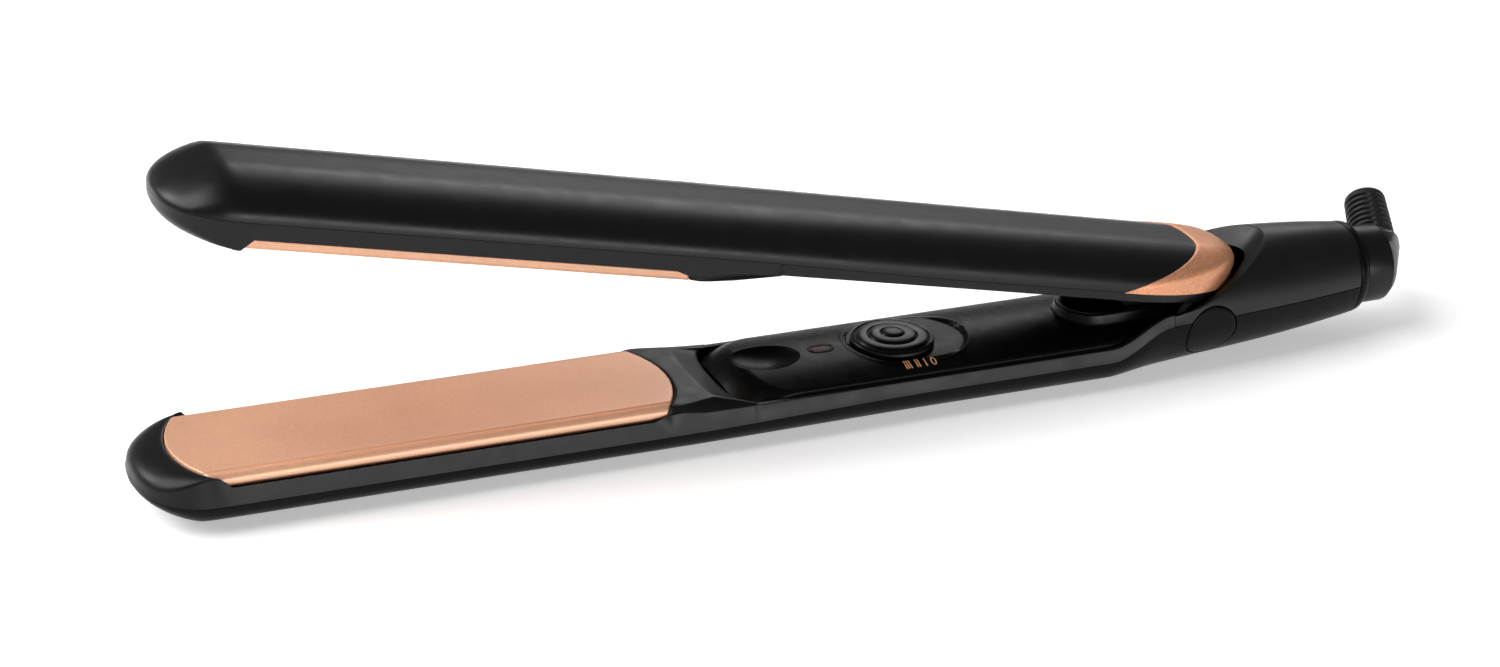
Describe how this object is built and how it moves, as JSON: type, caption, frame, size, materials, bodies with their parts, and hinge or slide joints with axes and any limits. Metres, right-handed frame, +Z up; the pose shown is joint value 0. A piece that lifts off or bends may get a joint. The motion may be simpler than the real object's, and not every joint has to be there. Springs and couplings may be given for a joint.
{
  "type": "flat iron",
  "caption": "Hinged hair straightener standing open: floating hot plates, a sliding switch, a trimmed tail and a swivelling cord outlet with a ribbed boot.",
  "frame": {"origin": "middle of the flat resting strip under the lower arm, at half the strip's length", "axes": "+Z up out of the surface that it rests on, +X along the lower arm from the nose towards the cord outlet, +Y to the far side"},
  "size_m": [0.2831, 0.0324, 0.0705],
  "materials": {
    "satin_black": "satin",
    "frame_grey": "satin",
    "deck_black": "fine matte",
    "copper_plate": "satin coated",
    "copper_trim": "polished",
    "steel": "bright",
    "spring_steel": "bright",
    "acetal": "matte",
    "board_green": "matte",
    "switch_grey": "matte",
    "led_red": "clear",
    "window_red": "clear",
    "insulator": "matte",
    "silicone": "matte",
    "ceramic": "matte",
    "boot_rubber": "matte",
    "contact_brass": "bright"
  },
  "bodies": {
    "base": {"lower_shell": "satin_black", "lower_frame": "frame_grey", "control_deck": "deck_black", "tail_cover": "satin_black", "end_collar": "deck_black", "hinge_pin": "steel", "hinge_caps": "frame_grey", "hinge_bushes": "acetal", "opening_spring": "spring_steel", "control_board": "board_green", "slide_switch": "switch_grey", "indicator_led": "led_red", "indicator_window": "window_red", "board_screws": "steel", "lower_insulator": "insulator", "lower_cushions": "silicone", "swivel_contacts": "contact_brass"},
    "lower_plate_body": {"lower_plate": "copper_plate", "lower_heater": "ceramic", "lower_thermal_fuse": "ceramic"},
    "upper_arm": {"upper_shell": "satin_black", "tail_trim": "copper_trim", "upper_frame": "frame_grey", "inner_cover": "deck_black", "hinge_neck": "frame_grey", "neck_screws": "steel", "upper_insulator": "insulator", "upper_cushions": "silicone"},
    "upper_plate_body": {"upper_plate": "copper_plate", "upper_heater": "ceramic", "upper_thermal_fuse": "ceramic"},
    "switch_knob": {"slide_knob": "deck_black"},
    "cord_outlet": {"swivel_elbow": "frame_grey", "strain_relief": "boot_rubber", "elbow_contacts": "contact_brass"}
  },
  "joints": [
    {"name": "arm_hinge", "type": "hinge", "parent": "base", "child": "upper_arm", "pos_m": [0.11655, 0, 0.0099], "axis": [0, -1, 0], "range_deg": [0, 12.1], "stiffness_Nm_per_rad": 1.5, "springref_deg": -14.32},
    {"name": "switch_slide", "type": "slide", "parent": "base", "child": "switch_knob", "axis": [1, 0, 0], "range_m": [0, 0.006]},
    {"name": "cord_swivel", "type": "hinge", "parent": "base", "child": "cord_outlet", "pos_m": [0.155, 0, 0.0136], "axis": [1, 0, 0], "continuous": true},
    {"name": "lower_plate_float", "type": "slide", "parent": "base", "child": "lower_plate_body", "axis": [0, 0, -1], "range_m": [0, 0.0008], "stiffness_N_per_m": 3000, "springref_m": -0.0006},
    {"name": "upper_plate_float", "type": "slide", "parent": "upper_arm", "child": "upper_plate_body", "axis": [0.2096, 0, 0.9778], "range_m": [0, 0.0008], "stiffness_N_per_m": 3000, "springref_m": -0.0006}
  ]
}
